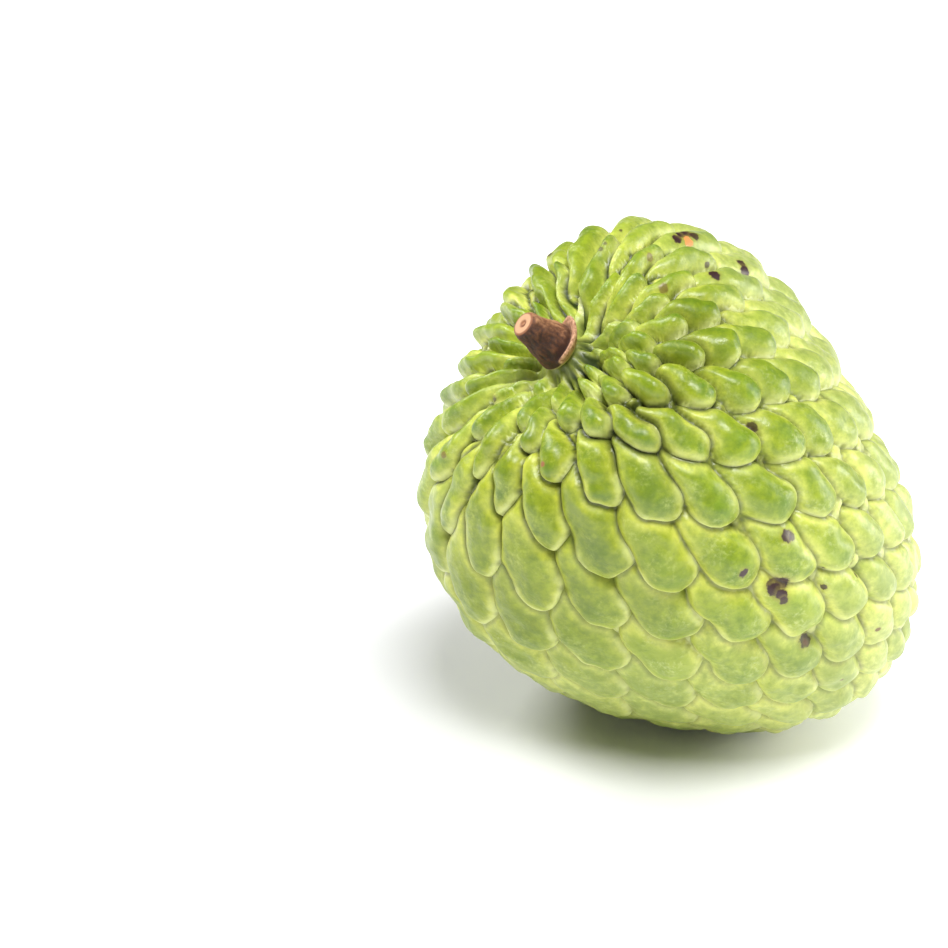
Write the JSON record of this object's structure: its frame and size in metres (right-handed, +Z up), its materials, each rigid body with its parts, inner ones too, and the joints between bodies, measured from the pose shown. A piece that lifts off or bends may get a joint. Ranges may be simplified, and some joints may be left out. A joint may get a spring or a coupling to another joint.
{
  "type": "custard apple",
  "caption": "Whole green custard apple with overlapping knobbly scales and a short cut stalk, lying on its side on a small flat spot.",
  "frame": {"origin": "on the surface that the fruit rests on, below the middle of its bounding box", "axes": "+Z up, -Y towards the side that shows the stalk, +X towards the blossom end; the fruit's own axis leans 39 degrees from upright towards -X and -Y"},
  "size_m": [0.0944, 0.0977, 0.097],
  "materials": {
    "skin": "waxy green rind, paler along the rims of the scales, with a few brown marks",
    "stalk_bark": "rough brown bark with a pale cut end and a dry collar"
  },
  "bodies": {
    "root": {"fruit": "skin", "stalk": "stalk_bark"}
  },
  "joints": []
}
